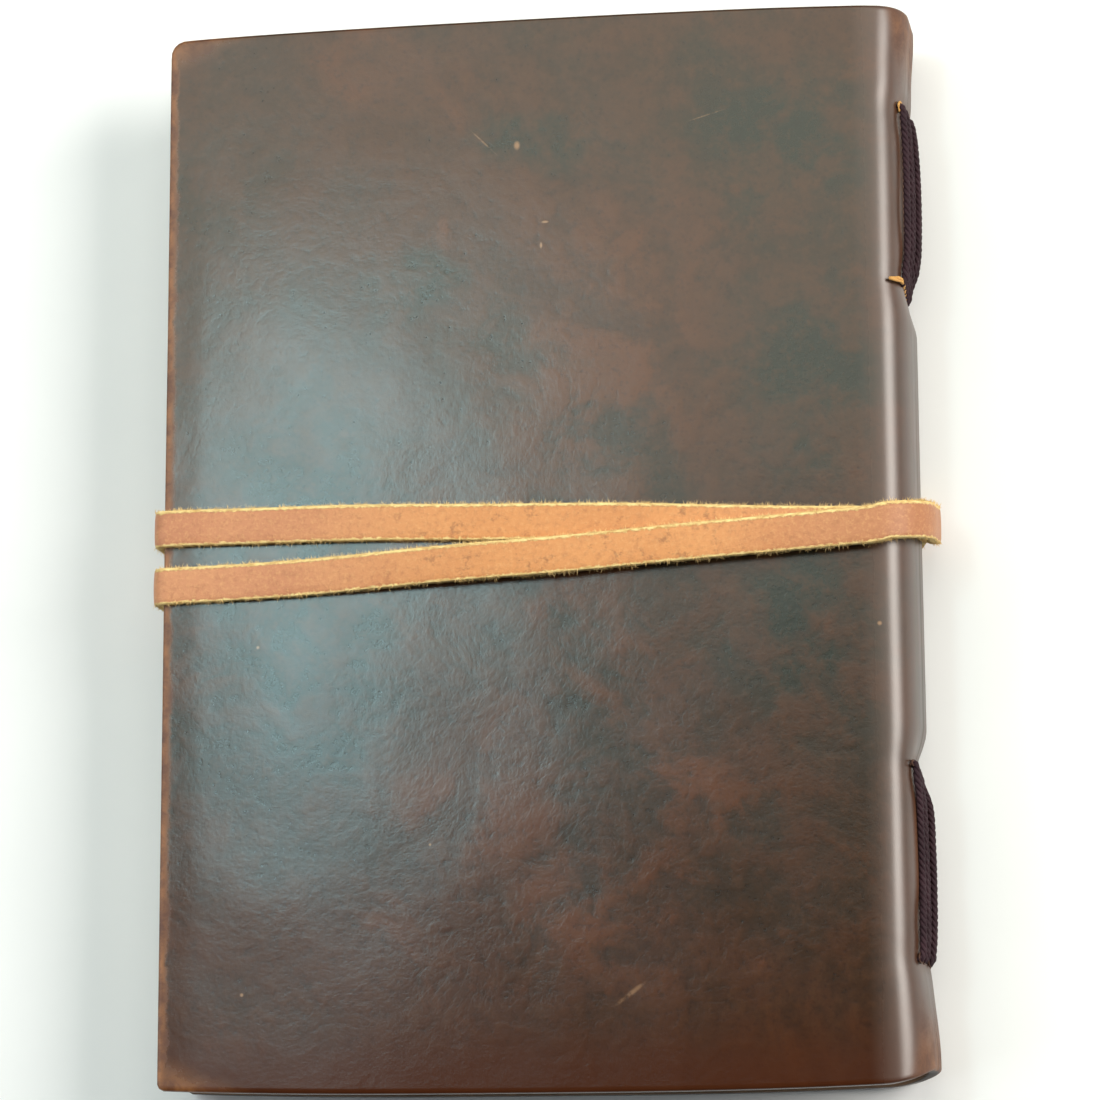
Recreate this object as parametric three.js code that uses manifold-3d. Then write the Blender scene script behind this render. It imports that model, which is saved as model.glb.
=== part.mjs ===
// A long-stitch leather notebook, lying closed on a table with its strap wound twice round it.
// Millimetres. +X points to the spine, +Y to the head and +Z up.
// The origin is on the table, under the middle of the whole notebook.
import * as THREE from "three";
import { mergeVertices } from "three/addons/utils/BufferGeometryUtils.js";
import Module from "manifold-3d";

const wasm = await Module();
wasm.setup();

// Cover: one hide in three panels, two covers and a spine.
const COVER_WIDTH = 127; // fore-edge to the back of the spine
const COVER_HEIGHT = 178; // head to tail
const LEATHER = 2.3; // hide thickness
const EDGE_RADIUS = 0.6; // worn round of the cut edges
const CORNER_RADIUS = 2.5; // cut corners, seen from above
const SHOULDER_RADIUS = 5.2; // outside of the bend from a cover into the spine
const HINGE_CLEARANCE = 10; // degrees that each half bend stops short of the fold line

// Text block: folded sections sewn side by side to the spine.
const SECTION_COUNT = 6;
const SECTION_THICKNESS = 2.4;
const SECTION_PITCH = 2.9;
const PAGE_WIDTH = 117; // fold to fore-edge
const PAGE_HEIGHT = 168;
const LEAF_GAP = 0.3; // between the two halves of a folded section
const THREAD_CHANNEL_RADIUS = 0.75; // room for the thread inside a fold

// Sewing: waxed thread, out through the spine in two long stitches per section.
const THREAD_RADIUS = 0.6;
const INNER_THREAD_RADIUS = 0.45;
const STITCH_BULGE = 0.5; // how far the middle of a stitch stands off the spine
const STITCH_GROUPS = [
  { name: "head", hole: 72, slit: 42 },
  { name: "tail", hole: -69, slit: -38 },
];

// Strap: a flat leather lace, two turns.
const STRAP_WIDTH = 6;
const STRAP_THICKNESS = 1.7;
const STRAP_CORNER_RADIUS = 0.8; // inside of its bend over the cover's fore-edge
const FIRST_TURN_FORE_Y = 3.7; // where the first turn comes over the fore-edge
const SECOND_TURN_FORE_Y = -6.0; // where the second turn comes over the fore-edge
const SPINE_Y = 1.1; // both turns go over the spine here, one on the other
const CLIMB_START = 14; // from the fore-edge to where the second turn starts to rise
const CLIMB_END = 48; // and to where it lies on the first turn
const SPINE_SLANT = 0.284; // sideways run of the second turn down the spine, per mm of drop
const LACE_START_LENGTH = 55; // the lace's first end, under the notebook
const LACE_END_LENGTH = 55; // and its last end

const GAP = 0.3; // between pieces that touch

const STRAP_STEP = GAP + STRAP_THICKNESS;
const WHOLE_WIDTH = COVER_WIDTH + 3 * STRAP_STEP;
const SPINE_X = WHOLE_WIDTH / 2 - 2 * STRAP_STEP; // back of the spine
const FORE_X = SPINE_X - COVER_WIDTH; // fore-edge of the covers
const BEND_X = SPINE_X - SHOULDER_RADIUS; // centre of both shoulder bends
const INNER_RADIUS = SHOULDER_RADIUS - LEATHER;

const BOTTOM_Z = STRAP_STEP; // outer face of the bottom cover
const FIRST_SECTION_Z = BOTTOM_Z + LEATHER + GAP + SECTION_THICKNESS / 2;
const LAST_SECTION_Z = FIRST_SECTION_Z + (SECTION_COUNT - 1) * SECTION_PITCH;
const TOP_Z = LAST_SECTION_Z + SECTION_THICKNESS / 2 + GAP + LEATHER; // outer face of the top cover

const degrees = THREE.MathUtils.degToRad;

const materials = {
  cover: { color: 0x5e5248, roughness: 0.55, metalness: 0 },
  paper: { color: 0xe9dfc8, roughness: 0.9, metalness: 0 },
  thread: { color: 0x2e1820, roughness: 0.5, metalness: 0 },
  strap: { color: 0xc08450, roughness: 0.7, metalness: 0 },
};

const notebook = new THREE.Group();
notebook.name = "notebook";

function addPiece(name, geometry, look) {
  const mesh = new THREE.Mesh(geometry, new THREE.MeshStandardMaterial(materials[look]));
  mesh.name = name;
  notebook.add(mesh);
}

// Points along an arc about (x, z), with angles in degrees from +X towards +Z.
function arc(x, z, radius, from, to, steps = 6) {
  const points = [];
  for (let i = 0; i <= steps; i++) {
    const angle = degrees(from + ((to - from) * i) / steps);
    points.push(new THREE.Vector2(x + radius * Math.cos(angle), z + radius * Math.sin(angle)));
  }
  return points;
}

// Extrudes an outline drawn in X and Z along Y, centred on the given Y.
function extrudeAlongY(points, length, centreY = 0) {
  const geometry = new THREE.ExtrudeGeometry(new THREE.Shape(points), {
    depth: length,
    bevelEnabled: false,
  });
  geometry.rotateX(Math.PI / 2);
  geometry.translate(0, centreY + length / 2, 0);
  return geometry;
}

function solidFrom(geometry) {
  const bare = geometry.clone();
  bare.deleteAttribute("normal");
  bare.deleteAttribute("uv");
  const merged = mergeVertices(bare, 1e-4);
  return new wasm.Manifold(
    new wasm.Mesh({
      numProp: 3,
      vertProperties: new Float32Array(merged.attributes.position.array),
      triVerts: new Uint32Array(merged.index.array),
    }),
  );
}

function geometryFrom(solid) {
  const mesh = solid.getMesh();
  const geometry = new THREE.BufferGeometry();
  geometry.setAttribute("position", new THREE.BufferAttribute(mesh.vertProperties, 3));
  geometry.setIndex(new THREE.BufferAttribute(mesh.triVerts, 1));
  geometry.computeVertexNormals();
  return geometry;
}

// The hide's plan: a rectangle with rounded corners, tall enough to trim every panel.
function hidePlan() {
  const left = FORE_X;
  const right = SPINE_X;
  const half = COVER_HEIGHT / 2;
  const r = CORNER_RADIUS;
  const plan = new THREE.Shape([
    ...arc(right - r, half - r, r, 0, 90),
    ...arc(left + r, half - r, r, 90, 180),
    ...arc(left + r, r - half, r, 180, 270),
    ...arc(right - r, r - half, r, 270, 360),
  ]);
  return solidFrom(new THREE.ExtrudeGeometry(plan, { depth: TOP_Z, bevelEnabled: false }));
}

// A cover's end outline: flat from the fore-edge, then its share of the shoulder bend.
// Heights count from the outer face, inward.
function coverOutline() {
  const share = 45 - HINGE_CLEARANCE;
  return [
    ...arc(FORE_X + EDGE_RADIUS, EDGE_RADIUS, EDGE_RADIUS, 180, 270, 3),
    ...arc(BEND_X, SHOULDER_RADIUS, SHOULDER_RADIUS, 270, 270 + share),
    ...arc(BEND_X, SHOULDER_RADIUS, INNER_RADIUS, 270 + share, 270),
    ...arc(FORE_X + EDGE_RADIUS, LEATHER - EDGE_RADIUS, EDGE_RADIUS, 90, 180, 3),
  ];
}

function cover(outerZ, inward) {
  const points = coverOutline().map((p) => new THREE.Vector2(p.x, outerZ + inward * p.y));
  const panel = solidFrom(extrudeAlongY(points, COVER_HEIGHT));
  return geometryFrom(panel.intersect(hidePlan()));
}

// The spine is an upright wall with its share of both shoulder bends,
// a hole for each section at the outer end of a stitch group and one slit across at the inner end.
function spine() {
  const share = 45 - HINGE_CLEARANCE;
  const low = BOTTOM_Z + SHOULDER_RADIUS;
  const high = TOP_Z - SHOULDER_RADIUS;
  const outline = [
    ...arc(BEND_X, low, SHOULDER_RADIUS, -share, 0),
    ...arc(BEND_X, high, SHOULDER_RADIUS, 0, share),
    ...arc(BEND_X, high, INNER_RADIUS, share, 0),
    ...arc(BEND_X, low, INNER_RADIUS, 0, -share),
  ];
  let wall = solidFrom(extrudeAlongY(outline, COVER_HEIGHT)).intersect(hidePlan());
  const holeRadius = THREAD_RADIUS + GAP;
  const through = 3 * LEATHER;
  for (const group of STITCH_GROUPS) {
    for (let i = 0; i < SECTION_COUNT; i++) {
      const hole = new THREE.CylinderGeometry(holeRadius, holeRadius, through, 12);
      hole.rotateZ(Math.PI / 2);
      hole.translate(SPINE_X - LEATHER / 2, group.hole, sectionZ(i));
      wall = wall.subtract(solidFrom(hole));
    }
    const slitHeight = LAST_SECTION_Z - FIRST_SECTION_Z + 2 * holeRadius;
    const slit = new THREE.BoxGeometry(through, 2 * holeRadius, slitHeight);
    slit.translate(SPINE_X - LEATHER / 2, group.slit, (FIRST_SECTION_Z + LAST_SECTION_Z) / 2);
    wall = wall.subtract(solidFrom(slit));
  }
  return geometryFrom(wall);
}

function sectionZ(index) {
  return FIRST_SECTION_Z + index * SECTION_PITCH;
}

// A folded section: two halves joined by a round fold, open between them to the fore-edge,
// with a channel for the thread inside the fold.
function section(z) {
  const half = SECTION_THICKNESS / 2;
  const slit = LEAF_GAP / 2;
  const foreX = BEND_X - PAGE_WIDTH;
  const mouth = 180 - THREE.MathUtils.radToDeg(Math.asin(slit / THREAD_CHANNEL_RADIUS));
  const outline = [
    new THREE.Vector2(foreX, z - half),
    ...arc(BEND_X, z, half, -90, 90, 10),
    new THREE.Vector2(foreX, z + half),
    new THREE.Vector2(foreX, z + slit),
    ...arc(BEND_X, z, THREAD_CHANNEL_RADIUS, mouth, -mouth, 10),
    new THREE.Vector2(foreX, z - slit),
  ];
  return extrudeAlongY(outline, PAGE_HEIGHT);
}

// A round thread along a curve.
function thread(curve, radius, steps) {
  const round = new THREE.Shape(arc(0, 0, radius, 0, 315, 7));
  return new THREE.ExtrudeGeometry(round, { steps, bevelEnabled: false, extrudePath: curve });
}

// A long stitch comes out of its hole, lies along the back of the spine and goes in at the slit.
function outerStitch(z, group) {
  const from = group.hole;
  const to = group.slit;
  const onward = Math.sign(to - from) * THREAD_RADIUS;
  const inside = SPINE_X - LEATHER - GAP;
  const lying = SPINE_X + GAP + THREAD_RADIUS;
  const points = [
    [inside, from],
    [SPINE_X, from],
    [lying, from + 2 * onward],
    [lying + STITCH_BULGE, (from + to) / 2],
    [lying, to - 2 * onward],
    [SPINE_X, to],
    [inside, to],
  ];
  const curve = new THREE.CatmullRomCurve3(points.map(([x, y]) => new THREE.Vector3(x, y, z)));
  return thread(curve, THREAD_RADIUS, 28);
}

// Between the two slits the thread runs inside the fold.
function innerStitch(z) {
  const [head, tail] = STITCH_GROUPS.map((group) => group.slit);
  const bar = new THREE.CylinderGeometry(INNER_THREAD_RADIUS, INNER_THREAD_RADIUS, head - tail, 10);
  bar.translate(BEND_X, (head + tail) / 2, z);
  return bar;
}

// A straight flat run of strap between two points of its middle line, in X and Y.
function strapRun(from, to, lowZ) {
  const run = new THREE.Vector2().subVectors(to, from);
  const geometry = new THREE.BoxGeometry(run.length(), STRAP_WIDTH, STRAP_THICKNESS);
  geometry.rotateZ(run.angle());
  geometry.translate((from.x + to.x) / 2, (from.y + to.y) / 2, lowZ + STRAP_THICKNESS / 2);
  return geometry;
}

// The second turn over the top cover: down on the leather at first, then up onto the first turn.
function climbingRun(from, to, lowZ) {
  const run = new THREE.Vector2().subVectors(to, from);
  const end = run.length();
  const under = [
    [0, 0],
    [CLIMB_START, 0],
    [CLIMB_END, STRAP_STEP],
    [end, STRAP_STEP],
  ];
  const over = under.map(([x, z]) => [x, z + STRAP_THICKNESS]).reverse();
  const outline = [...under, ...over].map(([x, z]) => new THREE.Vector2(x, z));
  const geometry = extrudeAlongY(outline, STRAP_WIDTH);
  geometry.rotateZ(run.angle());
  geometry.translate(from.x, from.y, lowZ);
  return geometry;
}

// A strap bent round an edge of the notebook: an upright run with a quarter bend at each end.
// Each bend has its centre and inside radius; facing is +1 round the spine, -1 round the fore-edge.
function bentRun(top, bottom, facing, y) {
  const turn = (angle) => (facing > 0 ? angle : 180 - angle);
  const outline = [
    ...arc(bottom.x, bottom.z, bottom.radius + STRAP_THICKNESS, turn(-90), turn(0), 8),
    ...arc(top.x, top.z, top.radius + STRAP_THICKNESS, turn(0), turn(90), 8),
    ...arc(top.x, top.z, top.radius, turn(90), turn(0), 8),
    ...arc(bottom.x, bottom.z, bottom.radius, turn(0), turn(-90), 8),
  ];
  return extrudeAlongY(outline, STRAP_WIDTH, y);
}

const shoulder = SHOULDER_RADIUS + GAP;
const lowBend = BOTTOM_Z + SHOULDER_RADIUS;
const highBend = TOP_Z - SHOULDER_RADIUS;

function firstSpineTurn() {
  return bentRun(
    { x: BEND_X, z: highBend, radius: shoulder },
    { x: BEND_X, z: lowBend, radius: shoulder },
    1,
    SPINE_Y,
  );
}

// The second turn lies on the first at the top and slants off to its side at the bottom.
function secondSpineTurn() {
  const geometry = bentRun(
    { x: BEND_X, z: highBend, radius: shoulder + STRAP_STEP },
    { x: BEND_X + STRAP_STEP, z: lowBend, radius: shoulder },
    1,
    SPINE_Y,
  );
  const lying = TOP_Z + GAP + STRAP_STEP; // no sideways run at this height
  const slant = new THREE.Matrix4();
  slant.elements[9] = -SPINE_SLANT; // Y per Z
  slant.elements[13] = SPINE_SLANT * lying; // Y
  geometry.applyMatrix4(slant);
  return geometry;
}

function foreEdgeTurn(y) {
  const x = FORE_X - GAP + STRAP_CORNER_RADIUS;
  return bentRun(
    { x, z: TOP_Z + GAP - STRAP_CORNER_RADIUS, radius: STRAP_CORNER_RADIUS },
    { x, z: STRAP_THICKNESS + STRAP_CORNER_RADIUS, radius: STRAP_CORNER_RADIUS },
    -1,
    y,
  );
}

addPiece("bottom_cover", cover(BOTTOM_Z, 1), "cover");
addPiece("spine", spine(), "cover");
addPiece("top_cover", cover(TOP_Z, -1), "cover");

for (let i = 0; i < SECTION_COUNT; i++) {
  const z = sectionZ(i);
  addPiece(`section_${i + 1}`, section(z), "paper");
  addPiece(`inner_stitch_${i + 1}`, innerStitch(z), "thread");
  for (const group of STITCH_GROUPS) {
    addPiece(`${group.name}_stitch_${i + 1}`, outerStitch(z, group), "thread");
  }
}

const foreStart = FORE_X + STRAP_CORNER_RADIUS; // where the flat runs start
const spineStart = BEND_X - GAP; // where they reach the shoulder bends
const topOfCover = TOP_Z + GAP;
const lowSpineX = spineStart + STRAP_STEP;
const lowSpineY = SPINE_Y + SPINE_SLANT * (TOP_Z + STRAP_STEP);
const firstFore = new THREE.Vector2(foreStart, FIRST_TURN_FORE_Y);
const secondFore = new THREE.Vector2(foreStart, SECOND_TURN_FORE_Y);
const overSpine = new THREE.Vector2(spineStart, SPINE_Y);
const firstEnd = new THREE.Vector2(foreStart + LACE_START_LENGTH, FIRST_TURN_FORE_Y);
const lowSpine = new THREE.Vector2(lowSpineX, lowSpineY);
const lastEnd = new THREE.Vector2(lowSpineX - LACE_END_LENGTH, lowSpineY);

// The lace in the order it is wound, from its first end to its last.
addPiece("strap_first_end", strapRun(firstFore, firstEnd, 0), "strap");
addPiece("strap_first_turn_fore_edge", foreEdgeTurn(FIRST_TURN_FORE_Y), "strap");
addPiece("strap_first_turn_top", strapRun(firstFore, overSpine, topOfCover), "strap");
addPiece("strap_first_turn_spine", firstSpineTurn(), "strap");
addPiece("strap_first_turn_under", strapRun(secondFore, overSpine, 0), "strap");
addPiece("strap_second_turn_fore_edge", foreEdgeTurn(SECOND_TURN_FORE_Y), "strap");
addPiece("strap_second_turn_top", climbingRun(secondFore, overSpine, topOfCover), "strap");
addPiece("strap_second_turn_spine", secondSpineTurn(), "strap");
addPiece("strap_last_end", strapRun(lowSpine, lastEnd, 0), "strap");

export default notebook;
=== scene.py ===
"""A long-stitch leather notebook, lying closed with its strap wound twice round it."""
import math
import random

import bmesh
import bpy
from mathutils import Matrix, Vector, noise


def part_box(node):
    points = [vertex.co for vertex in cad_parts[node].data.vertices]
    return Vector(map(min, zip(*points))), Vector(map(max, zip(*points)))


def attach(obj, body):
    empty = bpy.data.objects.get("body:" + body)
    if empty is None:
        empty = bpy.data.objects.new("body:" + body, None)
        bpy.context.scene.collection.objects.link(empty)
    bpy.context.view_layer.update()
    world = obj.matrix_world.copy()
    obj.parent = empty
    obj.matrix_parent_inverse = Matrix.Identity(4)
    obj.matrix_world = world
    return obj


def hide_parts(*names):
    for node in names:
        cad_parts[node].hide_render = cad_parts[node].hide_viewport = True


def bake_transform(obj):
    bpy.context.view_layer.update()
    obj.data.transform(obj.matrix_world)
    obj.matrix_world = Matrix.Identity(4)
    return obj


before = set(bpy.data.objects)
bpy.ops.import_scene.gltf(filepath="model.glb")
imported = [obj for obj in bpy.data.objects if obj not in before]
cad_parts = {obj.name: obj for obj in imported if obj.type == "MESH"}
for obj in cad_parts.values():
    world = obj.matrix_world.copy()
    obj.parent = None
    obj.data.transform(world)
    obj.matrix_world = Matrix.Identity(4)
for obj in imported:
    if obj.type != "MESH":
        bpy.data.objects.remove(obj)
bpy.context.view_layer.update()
MM = 0.001

# ---------------------------------------------------------------------------
# The hide: one piece of thick pull-up leather with raw cut edges, dark and waxy on
# its grain side. It is cut flat, its edges are worn round, and it is folded over the
# text block. Each half, from a fore-edge to the middle of the spine, bends at a shoulder.
# ---------------------------------------------------------------------------
LEATHER = 2.3 * MM
SHOULDER = 7.0 * MM
EDGE_WEAR = 0.55 * MM
HIDE_COLUMNS, HIDE_ROWS = 150, 176
SHOULDER_SHARE = 0.30  # the share of the columns that cover the shoulder and the wall
CORD = 0.6 * MM  # half the thickness of the sewing cord
DRAWN_LOW = 1.15 * MM  # how far the spine is drawn in at the lower cover
DRAWN_MORE = 1.25 * MM  # how much further at the upper one
BOW_HEAD = 0.75 * MM  # how far the head edge bows out in its middle
BOW_TAIL = 0.95 * MM
FORE_CORNERS = {1: 2.6 * MM, -1: 1.2 * MM}  # rounding at head and tail
TAIL_RISE = 2.2 * MM  # the tail edge is cut shorter across the spine

top_low, top_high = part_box("top_cover")
fore_x, back_x = top_low.x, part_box("spine")[1].x
bottom_z, top_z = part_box("bottom_cover")[0].z, top_high.z
half_height = top_high.y
middle_z = (bottom_z + top_z) / 2
bend_x = back_x - SHOULDER
flat_run = bend_x - fore_x
bend_run = SHOULDER * math.pi / 2
hide_half = flat_run + bend_run + top_z - SHOULDER - middle_z

stitch_groups = []  # (Y of the outer hole, Y of the inner slit)
for group in ("head", "tail"):
    low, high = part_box(group + "_stitch_1")
    ends = (high.y - CORD, low.y + CORD)
    stitch_groups.append(ends if group == "head" else ends[::-1])


def middle_y(node):
    low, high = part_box(node)
    return (low.y + high.y) / 2


strap_y = middle_y("strap_first_turn_spine")


def ease(value, start, end):
    """0 before start, 1 after end, smooth in between."""
    share = min(1, max(0, (value - start) / (end - start)))
    return share * share * (3 - 2 * share)


def bump(value, middle, reach):
    """1 at the middle, 0 beyond the reach on either side."""
    return 1 - ease(abs(value - middle), 0, reach)


def spine_pull(y, rise):
    """How far the sewing draws the spine in, at a rise of 0 at the lower cover to 1 at the upper."""
    pull = DRAWN_LOW + DRAWN_MORE * rise
    for hole, slit in stitch_groups:
        middle, reach = (hole + slit) / 2, abs(hole - slit) / 2
        sewn = 1 - ease(abs(y - middle), reach - 3 * MM, reach + 7 * MM)
        pull += sewn * (0.15 + 0.6 * rise) * MM
        for end in (hole, slit):
            pull += bump(y, end, 3.5 * MM) * 0.25 * MM
        pull += bump(y, slit, 7 * MM) * (1 - rise) * 2.1 * MM
    pull -= ease(y, 78 * MM, 88 * MM) * 0.6 * MM
    pull -= ease(-y, 71 * MM, 85 * MM) * (1.15 - 0.5 * rise) * MM
    return pull


def hide_swell(x, y, z, s):
    """How far the folded hide stands out from its plain shape, along its normal."""
    place = Vector((x, y, z))
    loose = 1.0 if z > middle_z else 0.4
    swell = loose * 0.20 * MM * noise.noise(place / (42 * MM))
    swell += loose * 0.06 * MM * noise.noise(place / (15 * MM))
    rise = (z - bottom_z) / (top_z - bottom_z)
    swell -= ease(s, flat_run - 3 * MM, flat_run + bend_run) * spine_pull(y, rise)
    swell -= 0.10 * MM * (1 - ease(s, 0, 7 * MM))
    return swell


def fold(s, depth):
    """X of a point of the hide once it is folded, and its drop from the cover's face."""
    if s < flat_run:
        return fore_x + s, depth
    if s < flat_run + bend_run:
        angle = (s - flat_run) / SHOULDER
        radius = SHOULDER - depth
        return bend_x + radius * math.sin(angle), SHOULDER - radius * math.cos(angle)
    return back_x - depth, SHOULDER + s - flat_run - bend_run


def over_hide(s, y, above, face_z, inward):
    """A point above the folded hide's grain, s along the cut from the fore-edge."""
    x, drop = fold(s, 0)
    swell = hide_swell(x, y, face_z + inward * drop, s)
    x, drop = fold(s, -swell - above)
    return Vector((x, y, face_z + inward * drop))


def wear_edges(bm, edges, offset, segments):
    """Rounds cut edges as handling does."""
    bmesh.ops.bevel(
        bm, geom=edges, affect="EDGES", offset=offset, segments=segments, profile=0.5, material=-1
    )


def cut_hide_half():
    """Half of the hide, flat: its width along X from the fore-edge, its grain side up at Z 0."""
    bm = bmesh.new()
    bmesh.ops.create_grid(bm, x_segments=HIDE_COLUMNS, y_segments=HIDE_ROWS, size=0.5)
    dense_from = flat_run - 4 * MM
    for v in bm.verts:
        across = v.co.x + 0.5
        if across < 1 - SHOULDER_SHARE:
            s = dense_from * across / (1 - SHOULDER_SHARE)
        else:
            s = dense_from + (hide_half - dense_from) * (across - 1 + SHOULDER_SHARE) / SHOULDER_SHARE
        y = v.co.y * 2 * half_height
        v.co.x, v.co.y = s, y
    for v in bm.verts:
        s, y = v.co.x, v.co.y
        side = 1 if y > 0 else -1
        radius = FORE_CORNERS[side]
        inner_s, inner_y = s - radius, abs(y) - (half_height - radius)
        if inner_s < 0 and inner_y > 0:
            reach = math.hypot(inner_s, inner_y)
            scale = max(-inner_s, inner_y) / reach
            s, y = radius + inner_s * scale, side * (half_height - radius + inner_y * scale)
        across = min(1, max(-1, 2 * s / flat_run - 1))
        bow = (BOW_HEAD if side > 0 else BOW_TAIL) * (1 - abs(across) ** 3)
        cut_short = TAIL_RISE * ease(s, flat_run - 2 * MM, flat_run + bend_run) if side < 0 else 0
        y += side * (bow - cut_short) * ease(abs(y), half_height - 25 * MM, half_height)
        v.co.x, v.co.y = s, y
    sheet = bm.faces[:]
    grown = bmesh.ops.extrude_face_region(bm, geom=sheet, use_keep_orig=True)
    lower = [g for g in grown["geom"] if isinstance(g, bmesh.types.BMVert)]
    bmesh.ops.translate(bm, vec=(0, 0, -LEATHER), verts=lower)
    bmesh.ops.recalc_face_normals(bm, faces=bm.faces[:])
    rim = []
    for e in bm.edges:
        on_side = any(abs(f.normal.z) < 0.5 for f in e.link_faces)
        on_face = any(abs(f.normal.z) > 0.5 for f in e.link_faces)
        at_seam = all(v.co.x > hide_half - 1e-6 for v in e.verts)
        if on_side and on_face and not at_seam:
            rim.append(e)
    wear_edges(bm, rim, EDGE_WEAR, 3)
    return bm


def make_piece(bm, name):
    """Finished mesh work as an object in the scene."""
    mesh = bpy.data.meshes.new(name)
    bm.to_mesh(mesh)
    bm.free()
    piece = bpy.data.objects.new(name, mesh)
    bpy.context.scene.collection.objects.link(piece)
    return piece


def fold_hide_half(name, face_z, inward):
    """Half of the hide folded into its place, which still remembers where it was cut from."""
    bm = cut_hide_half()
    cut = bm.loops.layers.uv.new("cut")
    depth_layer = bm.verts.layers.float.new("depth")
    fore_layer = bm.verts.layers.float.new("fore")
    end_layer = bm.verts.layers.float.new("end")
    for face in bm.faces:
        for loop in face.loops:
            x, y, _ = loop.vert.co
            loop[cut].uv = (x if inward < 0 else 2 * hide_half - x, y)
    for v in bm.verts:
        s, y, depth = v.co.x, v.co.y, -v.co.z
        v[depth_layer] = depth / LEATHER
        v[fore_layer] = s
        v[end_layer] = half_height - abs(y)
        v.co = over_hide(s, y, -depth, face_z, inward)
    if inward > 0:
        bmesh.ops.reverse_faces(bm, faces=bm.faces[:])
    for face in bm.faces:
        face.smooth = True
    for e in bm.edges:
        at_seam = all(abs(v.co.z - middle_z) < 1e-6 for v in e.verts)
        if at_seam and len({abs(f.normal.z) > 0.9 for f in e.link_faces}) > 1:
            e.smooth = False
    return make_piece(bm, name)


upper_hide = fold_hide_half("hide_upper_half", top_z, -1)
lower_hide = fold_hide_half("hide_lower_half", bottom_z, 1)


class Flow:
    """A socket in a finish. Arithmetic on it adds Math nodes, and make() adds any other node."""

    def __init__(self, tree, socket):
        self.tree, self.socket = tree, socket

    def make(self, kind, settings=None, inputs=None, output=0):
        node = self.tree.nodes.new(kind)
        for name, value in (settings or {}).items():
            if name == "stops":
                ramp = node.color_ramp
                while len(ramp.elements) < len(value):
                    ramp.elements.new(0.5)
                for element, (position, shade) in zip(ramp.elements, value):
                    element.position = position
                    element.color = (*shade, 1) if isinstance(shade, tuple) else (shade, shade, shade, 1)
            else:
                setattr(node, name, value)
        for name, value in (inputs or {}).items():
            socket = node.inputs[name]
            if isinstance(value, Flow):
                self.tree.links.new(value.socket, socket)
            elif isinstance(value, tuple) and len(value) == 3 and socket.type == "RGBA":
                socket.default_value = (*value, 1)
            else:
                socket.default_value = value
        return Flow(self.tree, node.outputs[output])

    def math(self, operation, *values):
        return self.make("ShaderNodeMath", {"operation": operation}, dict(enumerate(values)))

    def __add__(self, other):
        return self.math("ADD", self, other)

    def __sub__(self, other):
        return self.math("SUBTRACT", self, other)

    def __rsub__(self, other):
        return self.math("SUBTRACT", other, self)

    def __mul__(self, other):
        return self.math("MULTIPLY", self, other)

    __radd__ = __add__
    __rmul__ = __mul__

    def between(self, start, end):
        """0 where this is at start, 1 at end, smooth in between."""
        return self.make(
            "ShaderNodeMapRange",
            {"interpolation_type": "SMOOTHSTEP"},
            {"Value": self, "From Min": start, "From Max": end},
        )

    def tint(self, low, high):
        """The low colour where this is 0 and the high one where it is 1."""
        return self.make("ShaderNodeMix", {"data_type": "RGBA"}, {0: self, 6: low, 7: high}, output=2)

    def clouds(self, size, detail=4.0, roughness=0.55, warp=0.0, stretch=(1, 1, 1)):
        """Soft noise over this position, about 0 to 1, with features of the given size in metres."""
        place = self.make(
            "ShaderNodeMapping", {}, {"Vector": self, "Scale": tuple(k / size for k in stretch)}
        )
        return self.make(
            "ShaderNodeTexNoise",
            {"noise_dimensions": "3D"},
            {"Vector": place, "Scale": 1.0, "Detail": detail, "Roughness": roughness, "Distortion": warp},
        )

    def spot(self, middle, reach):
        """1 at a place, falling softly to 0 at the reach given along each axis."""
        offset = self.make(
            "ShaderNodeMapping",
            {"vector_type": "TEXTURE"},
            {"Vector": self, "Location": (*middle, 0), "Scale": (*reach, 1)},
        )
        span = self.make("ShaderNodeVectorMath", {"operation": "LENGTH"}, {0: offset}, 1)
        return 1 - span.between(0.25, 1.0)

    def cells(self, size):
        """How far this position is from the middle of its cell, for pores of the given size."""
        return self.make("ShaderNodeTexVoronoi", {"feature": "F1"}, {"Vector": self, "Scale": 1 / size})


def begin_finish(name):
    """A new material with only its shader and output, and a Flow to build the rest from."""
    material = bpy.data.materials.new(name)
    material.use_nodes = True
    tree = material.node_tree
    tree.nodes.clear()
    shader = tree.nodes.new("ShaderNodeBsdfPrincipled")
    output = tree.nodes.new("ShaderNodeOutputMaterial")
    tree.links.new(shader.outputs[0], output.inputs[0])
    return material, shader, Flow(tree, None)


def end_finish(material, shader, colour, roughness, height, bump_height, settings=None):
    """Links the varying colour, roughness and relief, and sets what is the same all over."""
    relief = colour.make(
        "ShaderNodeBump", {}, {"Height": height, "Distance": bump_height, "Strength": 1.0}
    )
    tree = material.node_tree
    tree.links.new(colour.socket, shader.inputs["Base Color"])
    tree.links.new(roughness.socket, shader.inputs["Roughness"])
    tree.links.new(relief.socket, shader.inputs["Normal"])
    for name, value in (settings or {}).items():
        shader.inputs[name].default_value = value


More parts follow.
